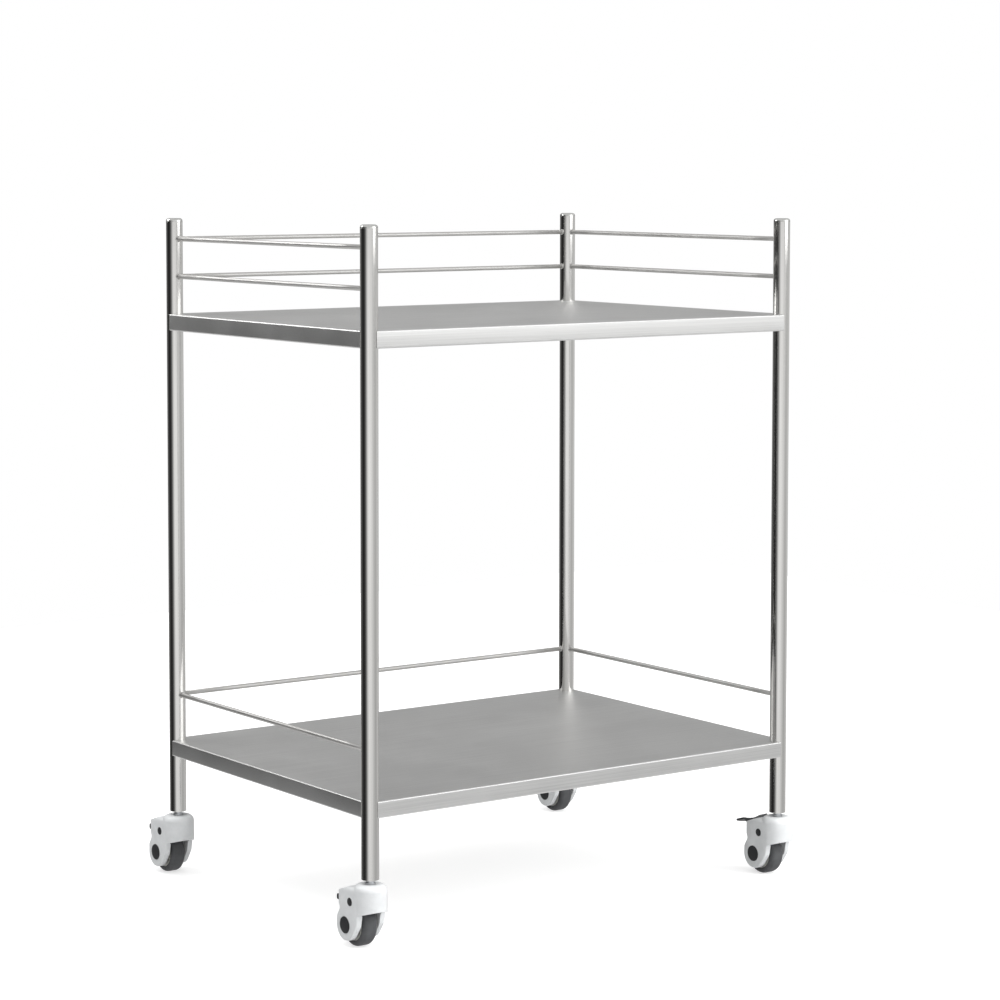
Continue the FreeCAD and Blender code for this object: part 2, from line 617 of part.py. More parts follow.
def make_pedal(corner):
    """The foot pedal: a boss on the pin with the brake's nose, a flat neck, and a dished wing on a
    keel that tapers from the wing's ends to the neck."""
    x, y = corner_place(corner)
    body = new_body(f"pedal_{corner}", x, f"{y} + dims.pivot_reach", "dims.pivot_height")
    width, half = "dims.neck_width", "dims.pedal_width / 2"

    def at(reach, height):
        return f"{reach} - dims.pivot_reach", f"{height} - dims.pivot_height"
    boss = circle_sketch(body, "YZ_Plane", [("0", "0", "dims.boss_radius")])
    extrude(body, "Pad", boss, width, both_ways=True)
    neck = outline_sketch(body, "YZ_Plane", [
        ("0", "0"),
        ("dims.nose_reach * cos(dims.nose_angle * 1 deg)", "dims.nose_reach * sin(dims.nose_angle * 1 deg)"),
        (*at("dims.neck_front", "dims.neck_underside"), "2"),
        (*at("dims.riser_front", "dims.neck_underside"), "2"),
        at("dims.riser_rear", "dims.pedal_top - dims.pedal_thickness * 1.2"),
        at("dims.pedal_front + 1", "dims.pedal_top - dims.pedal_thickness / 2"),
        (*at("dims.riser_front + 1", "dims.neck_height"), "1.5"),
        at("dims.pivot_reach", "dims.neck_height"),
    ])
    extrude(body, "Pad", neck, width, both_ways=True)
    wing = body.newObject("Sketcher::SketchObject", "sketch")
    wing.AttachmentSupport = [(plane_of(body, "XZ_Plane"), "")]
    wing.MapMode = "FlatFace"
    wing.AttachmentOffset = FreeCAD.Placement(Vector(0, 0, 0), FreeCAD.Rotation(Vector(-1, 0, 0), 1))
    wing.setExpression("AttachmentOffset.Rotation.Angle", "dims.pedal_tilt * 1 deg")
    wing.setExpression("AttachmentOffset.Base.y", "dims.pedal_top - dims.pivot_height")
    wing.setExpression("AttachmentOffset.Base.z", "dims.pivot_reach - dims.pedal_front")
    doc.recompute()
    dip = "dims.pedal_dish * (1 / cos(dims.pedal_flare * 1 deg) - 1)"
    end = f"({half} * tan(dims.pedal_flare * 1 deg) - {dip})"
    under = "dims.pedal_thickness / cos(dims.pedal_flare * 1 deg)"
    add_outline(wing, [
        (f"-{half}", f"{end} - {under}", "1.2"),
        ("0", f"-({dip}) - {under}", "dims.pedal_dish + dims.pedal_thickness"),
        (half, f"{end} - {under}", "1.2"), (half, end, "1.2"),
        ("0", f"-({dip})", "dims.pedal_dish"), (f"-{half}", end, "1.2"),
    ])
    sloping = f"dims.pedal_reach - dims.pedal_front - {end} * sin(dims.pedal_tilt * 1 deg)"
    extrude(body, "Pad", wing, f"({sloping}) / cos(dims.pedal_tilt * 1 deg)", backwards=True)
    tip = f"({half} - dims.keel_inset)"
    foot, top = "dims.neck_underside + 1 - dims.pivot_height", "dims.pedal_top - dims.pivot_height"
    keel = outline_sketch(body, "XZ_Plane", [
        (f"-{tip}", f"{top} + 0.2"), (f"-{width} / 2", foot), (f"{width} / 2", foot),
        (tip, f"{top} + 0.2"), ("0", f"{top} - 0.75 * dims.pedal_thickness"),
    ], "dims.pivot_reach - dims.pedal_front - 0.5")
    extrude(body, "Pad", keel, "dims.keel_thickness", backwards=True)
    bore = circle_sketch(body, "YZ_Plane", [("0", "0", "dims.pivot_diameter / 2 + dims.running_gap")])
    cut(body, bore, "2 * dims.neck_width", both_ways=True)
    nodes.append(body)


def make_plug(corner):
    """The plug that closes the brake's slot on a caster without a brake."""
    body = new_body(f"slot_plug_{corner}", *corner_place(corner), "0")
    low, high = "dims.plug_low + 0.4", "dims.plug_high - 0.4"
    tongue = outline_sketch(body, "YZ_Plane", [
        ("dims.head_reach - dims.plug_tongue", low), ("dims.head_reach + 1", low),
        ("dims.head_reach + 1", high), ("dims.head_reach - dims.plug_tongue", high),
    ])
    slot = "dims.neck_width + 2 * dims.slot_gap"
    extrude(body, "Pad", tongue, f"{slot} - 2 * dims.fit_gap", both_ways=True)
    face = outline_sketch(body, "YZ_Plane", [
        ("dims.head_reach", "dims.plug_low"), ("dims.plug_reach", "dims.plug_low", "2.4"),
        ("dims.plug_reach", "dims.plug_high", "2.4"), ("dims.head_reach", "dims.plug_high"),
    ])
    extrude(body, "Pad", face, "dims.plug_width", both_ways=True)
    nodes.append(body)


def build():
    """Every piece of the trolley."""
    for corner in CORNERS:
        make_post(corner)
    group("post_caps", [make_post_cap(corner) for corner in CORNERS])
    group("stem_sockets", [make_socket(corner) for corner in CORNERS])
    group("swivel_stems", [make_stem(corner) for corner in CORNERS])
    make_shelf("upper_shelf", UPPER, "dims.upper_flange")
    make_shelf("lower_shelf", LOWER, "dims.lower_flange")
    make_stiffener("upper_stiffener", UPPER)
    make_stiffener("lower_stiffener", LOWER)
    for side in ("left", "rear", "right"):
        make_rail(f"top_rail_{side}", f"{UPPER} + dims.top_rail", side)
        make_rail(f"middle_rail_{side}", f"{UPPER} + dims.middle_rail", side)
        make_rail(f"low_rail_{side}", f"{LOWER} + dims.low_rail", side)
    for corner in CORNERS:
        make_housing(corner)
        make_bearing(corner)
        make_tyre(corner)
        make_core(corner)
        make_bush(corner)
        make_axle(corner)
        group(f"hub_caps_{corner}", [make_hub_cap(corner, side) for side in (LEFT, RIGHT)])
        make_pin(corner)
        if corner in BRAKED:
            make_pedal(corner)
        else:
            make_plug(corner)


def check_and_write():
    """Stop on any failed object or bad shape, then write one file for each node."""
    doc.recompute()
    failed = [item.Label for item in doc.Objects if {"Invalid", "Error"} & set(item.State)]
    if failed:
        raise RuntimeError(f"failed objects: {failed}")
    bad = [node.Label for node in nodes if node.Shape.isNull() or not node.Shape.isValid()]
    if bad:
        raise RuntimeError(f"bad shapes: {bad}")
    os.makedirs("parts", exist_ok=True)
    for node in nodes:
        node.Shape.exportStep(f"parts/{node.Label}.step")
        box = node.Shape.BoundBox
        print(f"{node.Label}: {len(node.Shape.Solids)} solids, z {box.ZMin:.1f} to {box.ZMax:.1f}")


fill_sheet()
build()
check_and_write()
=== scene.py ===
"""Looks of a two-tier equipment trolley: polished tube posts, satin sheet shelves, guard rails on
three sides and four moulded swivel casters, in a plain white studio.

Metres, +Z up.  The open side faces -Y and the casters trail towards +Y.
"""
from __future__ import annotations

import logging
import math
from dataclasses import dataclass, field, replace
from enum import Enum
from typing import Iterable, Sequence

import bmesh
import bpy
import numpy as np
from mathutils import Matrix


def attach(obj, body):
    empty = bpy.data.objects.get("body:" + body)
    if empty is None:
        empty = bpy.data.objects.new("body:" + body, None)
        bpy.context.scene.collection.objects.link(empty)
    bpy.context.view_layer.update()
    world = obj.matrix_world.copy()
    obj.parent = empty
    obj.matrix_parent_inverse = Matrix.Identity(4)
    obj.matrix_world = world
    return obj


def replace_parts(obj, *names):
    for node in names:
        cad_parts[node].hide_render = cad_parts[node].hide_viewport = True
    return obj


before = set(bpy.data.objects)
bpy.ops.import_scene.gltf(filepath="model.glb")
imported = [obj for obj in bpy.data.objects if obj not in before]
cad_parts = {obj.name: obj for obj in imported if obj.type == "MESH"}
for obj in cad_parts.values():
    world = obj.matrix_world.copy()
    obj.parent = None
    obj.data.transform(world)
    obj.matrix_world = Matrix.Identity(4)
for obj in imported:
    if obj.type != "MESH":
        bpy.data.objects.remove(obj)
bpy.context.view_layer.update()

LOG = logging.getLogger("trolley")

Array = np.ndarray
Socket = bpy.types.NodeSocket
Piece = bpy.types.Object

UP = np.array([0.0, 0.0, 1.0])
# Points of a copied solid nearer than this are one, and its faces flatter than this angle join.
WELD_DISTANCE = 2e-6
FLAT_DEGREES = 0.6


class Side(Enum):
    """The two long-axis ends of the trolley, as signs of X."""

    LEFT = -1
    RIGHT = 1


class End(Enum):
    """The open front and the railed rear, as signs of Y."""

    FRONT = -1
    REAR = 1


class Stop(Enum):
    """What closes a caster's slot: a foot brake or a plain plug."""

    PEDAL = "pedal"
    PLUG = "slot_plug"


# ---------------------------------------------------------------------------------------------
# Surfaces
# ---------------------------------------------------------------------------------------------


def grid_object(name: str, points: Array, wrap_columns: bool = False,
                capped: bool = False) -> Piece:
    """Makes a smooth mesh from a grid of points.

    Args:
        name: The new object's name.
        points: Rows x columns x 3, in metres; faces look along (along a row) x (down a column).
        wrap_columns: Whether the last column joins the first.
        capped: Whether flat faces close the first and last rows of a wrapped grid.

    Returns:
        The object, linked to the scene.
    """
    rows, columns = points.shape[:2]
    number = np.arange(rows * columns).reshape(rows, columns)
    beside = np.roll(number, -1, axis=1)
    if not wrap_columns:
        number, beside = number[:, :-1], beside[:, :-1]
    quads = np.stack([number[:-1], beside[:-1], beside[1:], number[1:]], axis=-1)
    faces = quads.reshape(-1, 4).tolist()
    caps = [number[0, ::-1].tolist(), number[-1].tolist()] if capped else []
    mesh = bpy.data.meshes.new(name)
    mesh.from_pydata(points.reshape(-1, 3).tolist(), [], faces + caps)
    mesh.polygons.foreach_set("use_smooth", np.arange(len(faces) + len(caps)) < len(faces))
    mesh.update()
    piece = bpy.data.objects.new(name, mesh)
    bpy.context.scene.collection.objects.link(piece)
    return piece


def merged(name: str, pieces: Sequence[Piece]) -> Piece:
    """Joins several new pieces into one object of that name.

    Args:
        name: The joined object's name.
        pieces: New mesh objects, which are used up.

    Returns:
        The joined object.
    """
    vertices: list[list[float]] = []
    faces: list[list[int]] = []
    for piece in pieces:
        mesh = piece.data
        start = len(vertices)
        co = np.empty(len(mesh.vertices) * 3)
        mesh.vertices.foreach_get("co", co)
        vertices += co.reshape(-1, 3).tolist()
        loops = np.empty(len(mesh.loops), int)
        mesh.loops.foreach_get("vertex_index", loops)
        faces += (loops.reshape(-1, 4) + start).tolist()
        bpy.data.objects.remove(piece)
        bpy.data.meshes.remove(mesh)
    whole = bpy.data.meshes.new(name)
    whole.from_pydata(vertices, [], faces)
    whole.polygons.foreach_set("use_smooth", np.ones(len(whole.polygons), bool))
    whole.update()
    joined = bpy.data.objects.new(name, whole)
    bpy.context.scene.collection.objects.link(joined)
    return joined


def turned(profile: Array, centre: Array, segments: int) -> Array:
    """Turns a profile about a vertical axis.

    The point at angle a and profile point (r, z) is centre + (r cos a, r sin a, z).

    Args:
        profile: Points (radius, height), in order with the solid on the left.
        centre: The axis's foot.
        segments: Number of steps round the turn.

    Returns:
        Profile points x segments x 3.
    """
    a = np.linspace(0.0, 2 * math.pi, segments, endpoint=False)
    r, z = profile[:, 0, None], profile[:, 1, None]
    ring = np.stack([r * np.cos(a), r * np.sin(a), z + 0 * a], axis=-1)
    return ring + centre


def rounded(corners: Sequence[tuple[float, float, float]], steps: int = 5) -> Array:
    """Rounds a profile's corners with circular arcs.

    Each corner (u, v, radius) is cut back by radius / tan(half its angle) on both sides, and the
    arc between is swept evenly round its centre.

    Args:
        corners: Closed outline of (u, v, radius).
        steps: Points on each arc.

    Returns:
        The outline's points, n x 2.
    """
    places = np.array([c[:2] for c in corners])
    radii = np.array([c[2] for c in corners])
    back = np.roll(places, 1, axis=0) - places
    ahead = np.roll(places, -1, axis=0) - places
    back /= np.linalg.norm(back, axis=1, keepdims=True)
    ahead /= np.linalg.norm(ahead, axis=1, keepdims=True)
    half = np.arccos(np.clip((back * ahead).sum(1), -1, 1)) / 2
    trim = radii / np.tan(half)
    middle = back + ahead
    middle /= np.maximum(np.linalg.norm(middle, axis=1, keepdims=True), 1e-12)
    centre = places + middle * (radii / np.sin(half))[:, None]
    start = places + back * trim[:, None] - centre
    turn = np.sign(np.cross(-back, ahead)) * (math.pi - 2 * half)
    t = np.linspace(0, 1, steps)[None, :] * turn[:, None]
    x = start[:, 0, None] * np.cos(t) - start[:, 1, None] * np.sin(t)
    y = start[:, 0, None] * np.sin(t) + start[:, 1, None] * np.cos(t)
    return (np.stack([x, y], axis=-1) + centre[:, None]).reshape(-1, 2)


def with_margins(profile: Array, margin: float) -> Array:
    """Adds a point shortly inside both ends of each long side.

    Smooth shading then bends only within the margins, and the side between them stays straight.

    Args:
        profile: Closed outline, n x 2.
        margin: How far inside the ends the points lie.

    Returns:
        The outline with the added points.
    """
    ahead = np.roll(profile, -1, axis=0) - profile
    length = np.linalg.norm(ahead, axis=1)
    step = ahead / length[:, None] * margin
    points = np.stack([profile, profile + step, profile + ahead - step], axis=1)
    long = length > 4 * margin
    return points[np.stack([np.ones_like(long), long, long], axis=1)]


def smooth_copy(name: str, node: str, angle: float = 32.0, bevel: float = 0.0) -> Piece:
    """Copies a node's solid as one welded, smooth-shaded piece, its edges sharp or rounded.

    Args:
        name: The new piece's name.
        node: The node whose solid is copied.
        angle: Edges that turn by more than this many degrees stay sharp, or are rounded.
        bevel: Width of the rounding, in metres; 0 leaves the edges sharp.

    Returns:
        The new piece, which replaces the node.
    """
    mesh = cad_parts[node].data.copy()
    mesh.name = name
    piece = bpy.data.objects.new(name, mesh)
    bpy.context.scene.collection.objects.link(piece)
    work = bmesh.new()
    work.from_mesh(mesh)
    bmesh.ops.remove_doubles(work, verts=work.verts, dist=WELD_DISTANCE)
    bmesh.ops.dissolve_limit(work, angle_limit=math.radians(FLAT_DEGREES), verts=work.verts,
                             edges=work.edges)
    work.to_mesh(mesh)
    work.free()
    mesh.polygons.foreach_set("use_smooth", np.ones(len(mesh.polygons), bool))
    if bevel:
        round_over = piece.modifiers.new("rounded edges", "BEVEL")
        round_over.width = bevel
        round_over.segments = 3
        round_over.limit_method = "ANGLE"
        round_over.angle_limit = math.radians(angle)
        round_over.harden_normals = True
        round_over.use_clamp_overlap = True
    else:
        mesh.set_sharp_from_angle(angle=math.radians(angle))
    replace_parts(piece, node)
    return piece


# ---------------------------------------------------------------------------------------------
# Finishes
# ---------------------------------------------------------------------------------------------


def linear(hex_colour: str) -> tuple[float, float, float, float]:
    """Turns an sRGB hex colour into linear values.

    Args:
        hex_colour: Six hex digits after a hash.

    Returns:
        Linear red, green, blue and 1.
    """
    parts = [int(hex_colour[i:i + 2], 16) / 255 for i in (1, 3, 5)]
    red, green, blue = (p / 12.92 if p <= 0.04045 else ((p + 0.055) / 1.055) ** 2.4 for p in parts)
    return red, green, blue, 1.0


class Tree:
    """A material's or world's node tree under construction."""

    def __init__(self, tree: bpy.types.NodeTree) -> None:
        """Empties the tree."""
        self.tree = tree
        tree.nodes.clear()

    def add(self, kind: str, settings: dict | None = None,
            **inputs: Socket | float | tuple) -> bpy.types.Node:
        """Adds a node with its settings and links.

        Args:
            kind: The node's type name.
            settings: Attributes of the node. A ramp's "stops" are pairs of position and grey value
                or linear colour.
            **inputs: Socket names (spaces as underscores, or s0, s1 for a socket's number), each
                with a value or an output socket.

        Returns:
            The node.
        """
        node = self.tree.nodes.new(kind)
        for key, value in (settings or {}).items():
            if key != "stops":
                setattr(node, key, value)
                continue
            elements = node.color_ramp.elements
            while len(elements) > 1:
                elements.remove(elements[-1])
            for index, (place, colour) in enumerate(value):
                element = elements[0] if index == 0 else elements.new(place)
                element.position = place
                element.color = colour if isinstance(colour, tuple) else (*[colour] * 3, 1.0)
        for key, value in inputs.items():
            numbered = key[0] == "s" and key[1:].isdigit()
            socket = node.inputs[int(key[1:])] if numbered else node.inputs[key.replace("_", " ")]
            if isinstance(value, Socket):
                self.tree.links.new(value, socket)
            else:
                socket.default_value = value
        return node

    def pattern(self, scale: tuple[float, float, float], detail: float, rough: float) -> Socket:
        """Lays an irregular pattern over a piece, fixed to its Object coordinates.

        Args:
            scale: Features per metre along X, Y and Z.
            detail: Octaves.
            rough: How strong the finer octaves are.

        Returns:
            The pattern's value, mostly between 0.3 and 0.7.
        """
        place = self.add("ShaderNodeTexCoord").outputs["Object"]
        mapped = self.add("ShaderNodeMapping", Vector=place, Scale=scale).outputs["Vector"]
        return self.add("ShaderNodeTexNoise", Vector=mapped, Scale=1.0, Detail=detail,
                        Roughness=rough).outputs["Fac"]

    def seen(self) -> Socket:
        """1 where the camera looks, straight or through glass, and 0 for any other ray."""
        path = self.add("ShaderNodeLightPath").outputs
        return self.add("ShaderNodeMath", {"operation": "MAXIMUM"}, s0=path["Is Camera Ray"],
                        s1=path["Is Transmission Ray"]).outputs["Value"]


def bearings(stops: Iterable[tuple[float, float]]) -> list[tuple[float, float]]:
    """Turns stops at compass angles, in degrees from +X towards +Y, into places from 0 to 1."""
    return [((degrees + 180) / 360, grey) for degrees, grey in stops]


@dataclass(frozen=True)
class MetalFinish:
    """Bare or plated metal: a base reflectance, a grain along one axis and slight smudges.

    grain and wave are in features per metre along X, Y and Z; bump and wave_height are in metres.
    """

    name: str
    slot: str
    light: str
    dark: str
    roughness: tuple[float, float]
    grain: tuple[float, float, float]
    bump: float
    wave: tuple[float, float, float] = (9.0, 9.0, 9.0)
    wave_height: float = 0.0

    def material(self) -> bpy.types.Material:
        """Builds the node material.

        The grain sets the colour and the fine relief, smudges of 70 mm the roughness, and the
        wave a broad unevenness.

        Returns:
            The material.
        """
        made = bpy.data.materials.new(self.name)
        made.use_nodes = True
        tree = Tree(made.node_tree)
        grain = tree.pattern(self.grain, detail=4.0, rough=0.6)
        smudge = tree.pattern((14.0, 14.0, 14.0), detail=5.0, rough=0.62)
        stops = [(0.3, linear(self.dark)), (0.7, linear(self.light))]
        colour = tree.add("ShaderNodeValToRGB", {"stops": stops}, Fac=grain).outputs["Color"]
        low, high = self.roughness
        rough = tree.add("ShaderNodeMapRange", Value=smudge, From_Min=0.3, From_Max=0.7,
                         To_Min=low, To_Max=high).outputs["Result"]
        fine = tree.add("ShaderNodeBump", Height=grain, Distance=self.bump)
        normal = fine.outputs["Normal"]
        if self.wave_height:
            swell = tree.pattern(self.wave, detail=1.0, rough=0.4)
            broad = tree.add("ShaderNodeBump", Height=swell, Distance=self.wave_height,
                             Normal=normal)
            normal = broad.outputs["Normal"]
        shader = tree.add("ShaderNodeBsdfPrincipled", Base_Color=colour, Metallic=1.0,
                          Roughness=rough, Normal=normal)
        tree.add("ShaderNodeOutputMaterial", Surface=shader.outputs["BSDF"])
        return made


@dataclass(frozen=True)
class MouldedFinish:
    """Moulded plastic or rubber: a body colour with slight mottling and a fine skin texture.

    skin and mottle are in features per metre, and skin_height is in metres.
    """

    name: str
    slot: str
    light: str
    dark: str
    roughness: tuple[float, float]
    skin: float
    skin_height: float
    ior: float = 1.5
    mottle: float = 60.0

    def material(self) -> bpy.types.Material:
        """Builds the node material.

        The mottling sets the colour and the roughness, and the skin the relief.

        Returns:
            The material.
        """
        made = bpy.data.materials.new(self.name)
        made.use_nodes = True
        tree = Tree(made.node_tree)
        mottle = tree.pattern((self.mottle,) * 3, detail=4.0, rough=0.6)
        skin = tree.pattern((self.skin,) * 3, detail=3.0, rough=0.5)
        stops = [(0.32, linear(self.dark)), (0.62, linear(self.light))]
        colour = tree.add("ShaderNodeValToRGB", {"stops": stops}, Fac=mottle).outputs["Color"]
        low, high = self.roughness
        rough = tree.add("ShaderNodeMapRange", Value=mottle, From_Min=0.3, From_Max=0.7,
                         To_Min=low, To_Max=high).outputs["Result"]
        bump = tree.add("ShaderNodeBump", Height=skin, Distance=self.skin_height)
        shader = tree.add("ShaderNodeBsdfPrincipled", Base_Color=colour, Roughness=rough,
                          IOR=self.ior, Normal=bump.outputs["Normal"])
        tree.add("ShaderNodeOutputMaterial", Surface=shader.outputs["BSDF"])
        return made


# Real buffing lines, grinding lines and moulded skins are 0.05 to 0.2 mm fine, too fine to show,
# so they are drawn as coarse as the comments below say.

# Drawn stainless tube, buffed along its length: a near mirror with faint lengthwise lines 1.1 mm
# apart, and a slow waviness 0.2 m long and 0.5 m wide from drawing.
POLISHED_TUBE = MetalFinish(
    "polished stainless tube", "polished_tube", "#EAE9E7", "#E0DFDC", (0.07, 0.12),
    grain=(900.0, 900.0, 6.0), bump=2e-6, wave=(2.0, 2.0, 5.0), wave_height=0.00012)
# Pressed stainless cap, tumbled bright: a short sheen mottled every 2 mm.
PRESSED_CAP = MetalFinish(
    "pressed stainless cap", "cap_steel", "#DADAD8", "#CBCBC8", (0.12, 0.2),
    grain=(500.0, 500.0, 500.0), bump=4e-6)
# Rolled stainless sheet, belt-ground along X: a soft satin sheen with lines 0.7 mm apart and
# 200 mm long, and the slight unevenness of a folded pan, 0.4 to 0.5 m long.
SATIN_SHEET = MetalFinish(
    "belt-ground stainless sheet", "satin_steel", "#DBDBDA", "#C9C9C8", (0.38, 0.46),
    grain=(5.0, 1400.0, 1400.0), bump=6e-6, wave=(2.2, 2.6, 2.0), wave_height=0.0006)
# Centreless-ground stainless rod: a dull silver with faint lines 1.1 mm apart, along X or Y.
GROUND_ROD_X = MetalFinish(
    "ground stainless rod across", "rail_steel", "#CFCECC", "#BFBEBC", (0.48, 0.56),
    grain=(8.0, 900.0, 900.0), bump=3e-6)
GROUND_ROD_Y = replace(GROUND_ROD_X, name="ground stainless rod along", grain=(900.0, 8.0, 900.0))
# Bright zinc plating over turned steel: slightly blue, with clouds of 4 mm.
ZINC_PLATE = MetalFinish(
    "zinc-plated steel", "zinc_steel", "#D6D8DA", "#C2C4C7", (0.25, 0.38),
    grain=(260.0, 260.0, 260.0), bump=8e-6)
# Injection-moulded ABS with a gloss tool finish: clean white with a soft highlight, a skin of
# 1.4 mm and, as in all the mouldings, a faint mottling of 17 mm.
WHITE_ABS = MouldedFinish(
    "white moulded ABS", "white_plastic", "#E3E5E6", "#DBDDDE", (0.28, 0.36),
    skin=700.0, skin_height=6e-6)
# Injection-moulded nylon: warmer and duller than the housing, with a skin of 1.1 mm.
WHITE_NYLON = MouldedFinish(
    "natural moulded nylon", "white_nylon", "#D9D8D2", "#CDCCC6", (0.42, 0.52),
    skin=900.0, skin_height=1e-5)
# Glass-filled nylon from a spark-eroded mould: near black, with a skin of 0.7 mm.
BLACK_PLASTIC = MouldedFinish(
    "black moulded plastic", "black_plastic", "#28292B", "#1D1E20", (0.38, 0.5),
    skin=1500.0, skin_height=1.5e-5)
# Moulded thermoplastic rubber: dark grey and matt, with a skin of 0.8 mm, paler in patches.
GREY_RUBBER = MouldedFinish(
    "dark grey rubber", "dark_rubber", "#525355", "#434446", (0.6, 0.75),
    skin=1200.0, skin_height=3e-5)


class FinishShop:
    """Makes each finish's material once and dresses pieces with it."""

    def __init__(self) -> None:
        """Starts with no material made."""
        self.made: dict[str, bpy.types.Material] = {}

    def dress(self, piece: Piece, finish: MetalFinish | MouldedFinish) -> Piece:
        """Gives a piece its finish.

        Args:
            piece: A new piece.
            finish: The finish it gets.

        Returns:
            The piece.
        """
        if finish.name not in self.made:
            self.made[finish.name] = finish.material()
        piece.data.materials.clear()
        piece.data.materials.append(self.made[finish.name])
        return piece


# ---------------------------------------------------------------------------------------------
# The trolley
# ---------------------------------------------------------------------------------------------


@dataclass
class TubeFrame:
    """Four posts with caps, and the guard rails between them.

    width and depth are over the posts, centre_y is the frame's middle, and rail_levels are the
    heights of the rods' axes.
    """

    shop: FinishShop
    width: float = 0.660
    depth: float = 0.480
    centre_y: float = -0.01875
    post_radius: float = 0.01065
    post_wall: float = 0.0012
    post_foot: float = 0.0846
    post_top: float = 0.858
    post_steps: int = 160
    top_break: float = 0.0002
    foot_break: float = 0.0003
    rail_radius: float = 0.003
    rail_steps: int = 32
    weld_leg: float = 0.0012
    weld_steps: int = 48
    rail_levels: dict[str, float] = field(
        default_factory=lambda: {"top": 0.8353, "middle": 0.7867, "low": 0.2394}
    )

    def axis(self, side: Side, end: End) -> Array:
        """Finds a post's axis from the frame's width and depth.

        Args:
            side: Left or right.
            end: Front or rear.

        Returns:
            The axis's point at floor level.
        """
        return np.array([
            side.value * (self.width / 2 - self.post_radius),
            self.centre_y + end.value * (self.depth / 2 - self.post_radius),
            0.0,
        ])

    def build_posts(self) -> None:
        """Turns each tube from its wall's section, with the edges of both ends broken."""
        outer, inner = self.post_radius, self.post_radius - self.post_wall
        section = rounded([
            (inner, self.post_top, self.top_break), (inner, self.post_foot, self.foot_break),
            (outer, self.post_foot, self.foot_break), (outer, self.post_top, self.top_break),
        ], 4)
        section = with_margins(section, self.top_break)
        section = np.vstack([section, section[:1]])
        for side in Side:
            for end in End:
                name = f"{end.name.lower()}_{side.name.lower()}"
                points = turned(section, self.axis(side, end), self.post_steps)
                post = grid_object(f"tube_{name}", points, wrap_columns=True)
                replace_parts(self.shop.dress(post, POLISHED_TUBE), f"post_{name}")
                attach(post, "frame")
        LOG.info("posts built")

    def rail_points(self, start: Array, stop: Array) -> Array:
        """A rod between two post axes, its ends coped to the tubes.

        A ring's points are r (cos a across + sin a up). Those of the first and last ring are
        moved in along the rod by sqrt(R^2 - (r cos a)^2), on to the tube, and the rings between
        them are spread evenly.

        Args:
            start: Where the rod meets the first post's axis.
            stop: Where it meets the second's.

        Returns:
            Rings x steps x 3.
        """
        along = (stop - start) / np.linalg.norm(stop - start)
        across = np.array([-along[1], along[0], 0.0])
        a = np.linspace(0, 2 * math.pi, self.rail_steps, endpoint=False)[:, None]
        ring = self.rail_radius * (np.cos(a) * across + np.sin(a) * UP)
        cope = np.sqrt(self.post_radius ** 2 - (self.rail_radius * np.cos(a)) ** 2) * along
        t = np.linspace(0, 1, 9)[:, None, None]
        first, last = start + ring + cope, stop + ring - cope
        return first[None] * (1 - t) + last[None] * t

    def weld_points(self, post: Array, level: float, towards: Array) -> Array:
        """A small fillet weld round a rod's end, with the ripples of its passes.

        Its foot lies on the tube and its lip on the rod. The surface between them is slightly
        hollow, and ripples with the angle round the rod, most halfway across.

        Args:
            post: The post's axis.
            level: The rod's height.
            towards: Unit vector from the post along the rod.

        Returns:
            Steps across the weld x steps round it x 3.
        """
        across = np.array([-towards[1], towards[0], 0.0])
        a = np.linspace(0, 2 * math.pi, self.weld_steps, endpoint=False)[None, :, None]
        t = np.linspace(0, 1, 7)[:, None, None]
        hollow, passes, ripple, sunk = 1.3, 11, 0.00006, 0.0001
        radius = self.rail_radius + self.weld_leg * (1 - t) ** hollow
        radius = radius + ripple * np.sin(passes * a) * np.sin(math.pi * t)
        side = radius * np.cos(a)
        out = np.sqrt(self.post_radius ** 2 - side ** 2) - sunk + self.weld_leg * t ** hollow
        return post + side * across + (level + radius * np.sin(a)) * UP + out * towards

    def build_rails(self) -> None:
        """Builds the nine rods and their welds."""
        runs = {
            "left": ((Side.LEFT, End.FRONT), (Side.LEFT, End.REAR), GROUND_ROD_Y),
            "rear": ((Side.LEFT, End.REAR), (Side.RIGHT, End.REAR), GROUND_ROD_X),
            "right": ((Side.RIGHT, End.FRONT), (Side.RIGHT, End.REAR), GROUND_ROD_Y),
        }
        welds = []
        for level, height in self.rail_levels.items():
            for run, (first, last, finish) in runs.items():
                start, stop = self.axis(*first), self.axis(*last)
                points = self.rail_points(start + height * UP, stop + height * UP)
                rod = grid_object(f"rod_{level}_{run}", points, wrap_columns=True, capped=True)
                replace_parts(self.shop.dress(rod, finish), f"{level}_rail_{run}")
                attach(rod, "frame")
                along = (stop - start) / np.linalg.norm(stop - start)
                for post, way in ((start, along), (stop, -along)):
                    points = self.weld_points(post, height, way)
                    welds.append(grid_object("weld", points, wrap_columns=True))
        beads = merged("rail_welds", welds)
        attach(self.shop.dress(beads, GROUND_ROD_X), "frame")
        LOG.info("rails built")

    def build(self) -> None:
        """Builds the whole frame."""
        self.build_posts()
        self.build_rails()
        fittings = (("post_caps", PRESSED_CAP), ("stem_sockets", BLACK_PLASTIC),
                    ("swivel_stems", ZINC_PLATE))
        for node, finish in fittings:
            piece = smooth_copy(f"shaped_{node}", node)
            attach(self.shop.dress(piece, finish), "frame")
        LOG.info("frame built")


@dataclass
class SheetShelf:
    """A folded pan with its stiffener."""

    shop: FinishShop
    name: str

    def build(self) -> None:
        """Dresses the pan and the hat section under it."""
        for node in (f"{self.name}_shelf", f"{self.name}_stiffener"):
            piece = smooth_copy(f"sheet_{node}", node, angle=25.0)
            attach(self.shop.dress(piece, SATIN_SHEET), "frame")
        LOG.info("%s shelf built", self.name)


